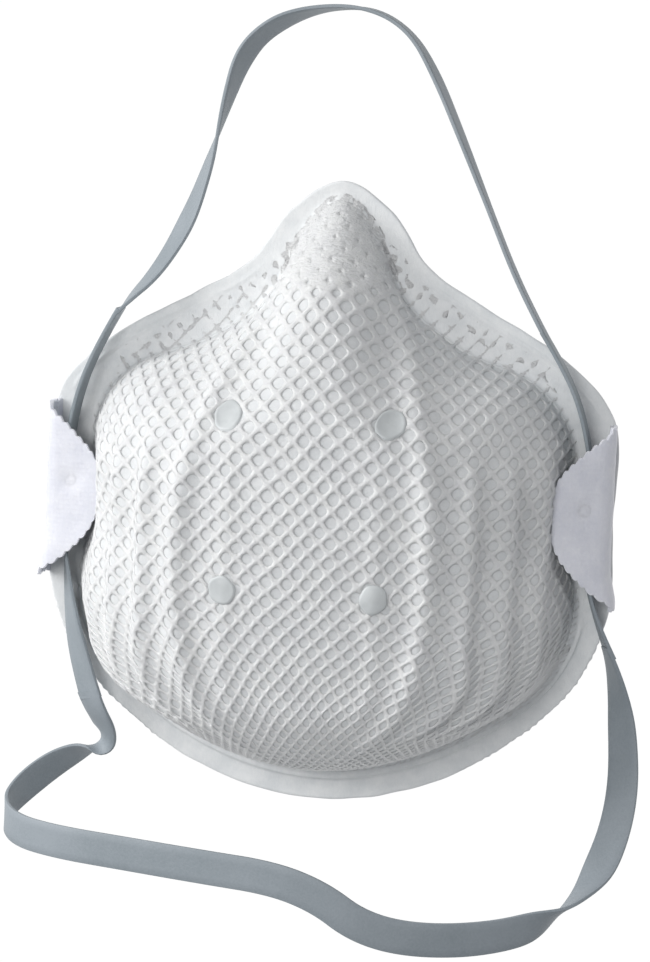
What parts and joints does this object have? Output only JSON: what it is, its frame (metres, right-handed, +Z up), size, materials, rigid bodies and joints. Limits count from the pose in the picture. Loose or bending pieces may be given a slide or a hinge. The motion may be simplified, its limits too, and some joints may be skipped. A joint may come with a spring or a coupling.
{
  "type": "disposable dust mask",
  "caption": "Cup-shaped dust mask with a netting outer shell, fibre filter layers, a pressed face flange with side tabs, and one elastic strap that makes a head loop and a neck loop.",
  "frame": {"origin": "centre of the face opening, on the flat back of the flange that seals on the face", "axes": "+Z up as worn, -Y out of the front of the mask, +X to the right of somebody looking at the front"},
  "size_m": [0.1502, 0.0583, 0.2134],
  "materials": {
    "netting": "moulded open netting, satin white",
    "fibre_web": "thin fuzzy nonwoven",
    "filter_media": "thick soft nonwoven",
    "liner": "smooth pressed nonwoven",
    "flange": "pressed and melted laminate, smooth with faint fibres",
    "tab": "embossed nonwoven laminate with pinked edges",
    "weld": "smooth melted spot, slightly translucent",
    "strap": "flat grey elastomer band, dull satin"
  },
  "bodies": {
    "mask": {"netting_shell": "netting", "cover_web": "fibre_web", "filter_layer": "filter_media", "inner_liner": "liner", "rim_flange": "flange", "jaw_weld_bead": "weld", "brow_weld_bead": "weld", "left_strap_tab": "tab", "right_strap_tab": "tab", "left_tab_weld": "weld", "right_tab_weld": "weld", "upper_left_spot": "weld", "upper_right_spot": "weld", "lower_left_spot": "weld", "lower_right_spot": "weld"},
    "strap": {"left_strap_run": "strap", "right_strap_run": "strap", "strap_lap_end": "strap"},
    "head_strap": {"head_loop": "strap"},
    "neck_strap": {"neck_loop": "strap"}
  },
  "joints": [
    {"name": "strap_slide", "type": "slide", "parent": "mask", "child": "strap", "axis": [0, 0, 1], "range_m": [-0.002, 0.002]},
    {"name": "head_loop_swing", "type": "hinge", "parent": "strap", "child": "head_strap", "pos_m": [0, -0.0063, 0.0434], "axis": [-1, 0, 0], "range_deg": [-80, 50], "stiffness_Nm_per_rad": 0.01},
    {"name": "neck_loop_swing", "type": "hinge", "parent": "strap", "child": "neck_strap", "pos_m": [-0.0545, -0.0063, -0.0542], "axis": [-0.989, 0, -0.1478], "range_deg": [-50, 45], "stiffness_Nm_per_rad": 0.01}
  ]
}
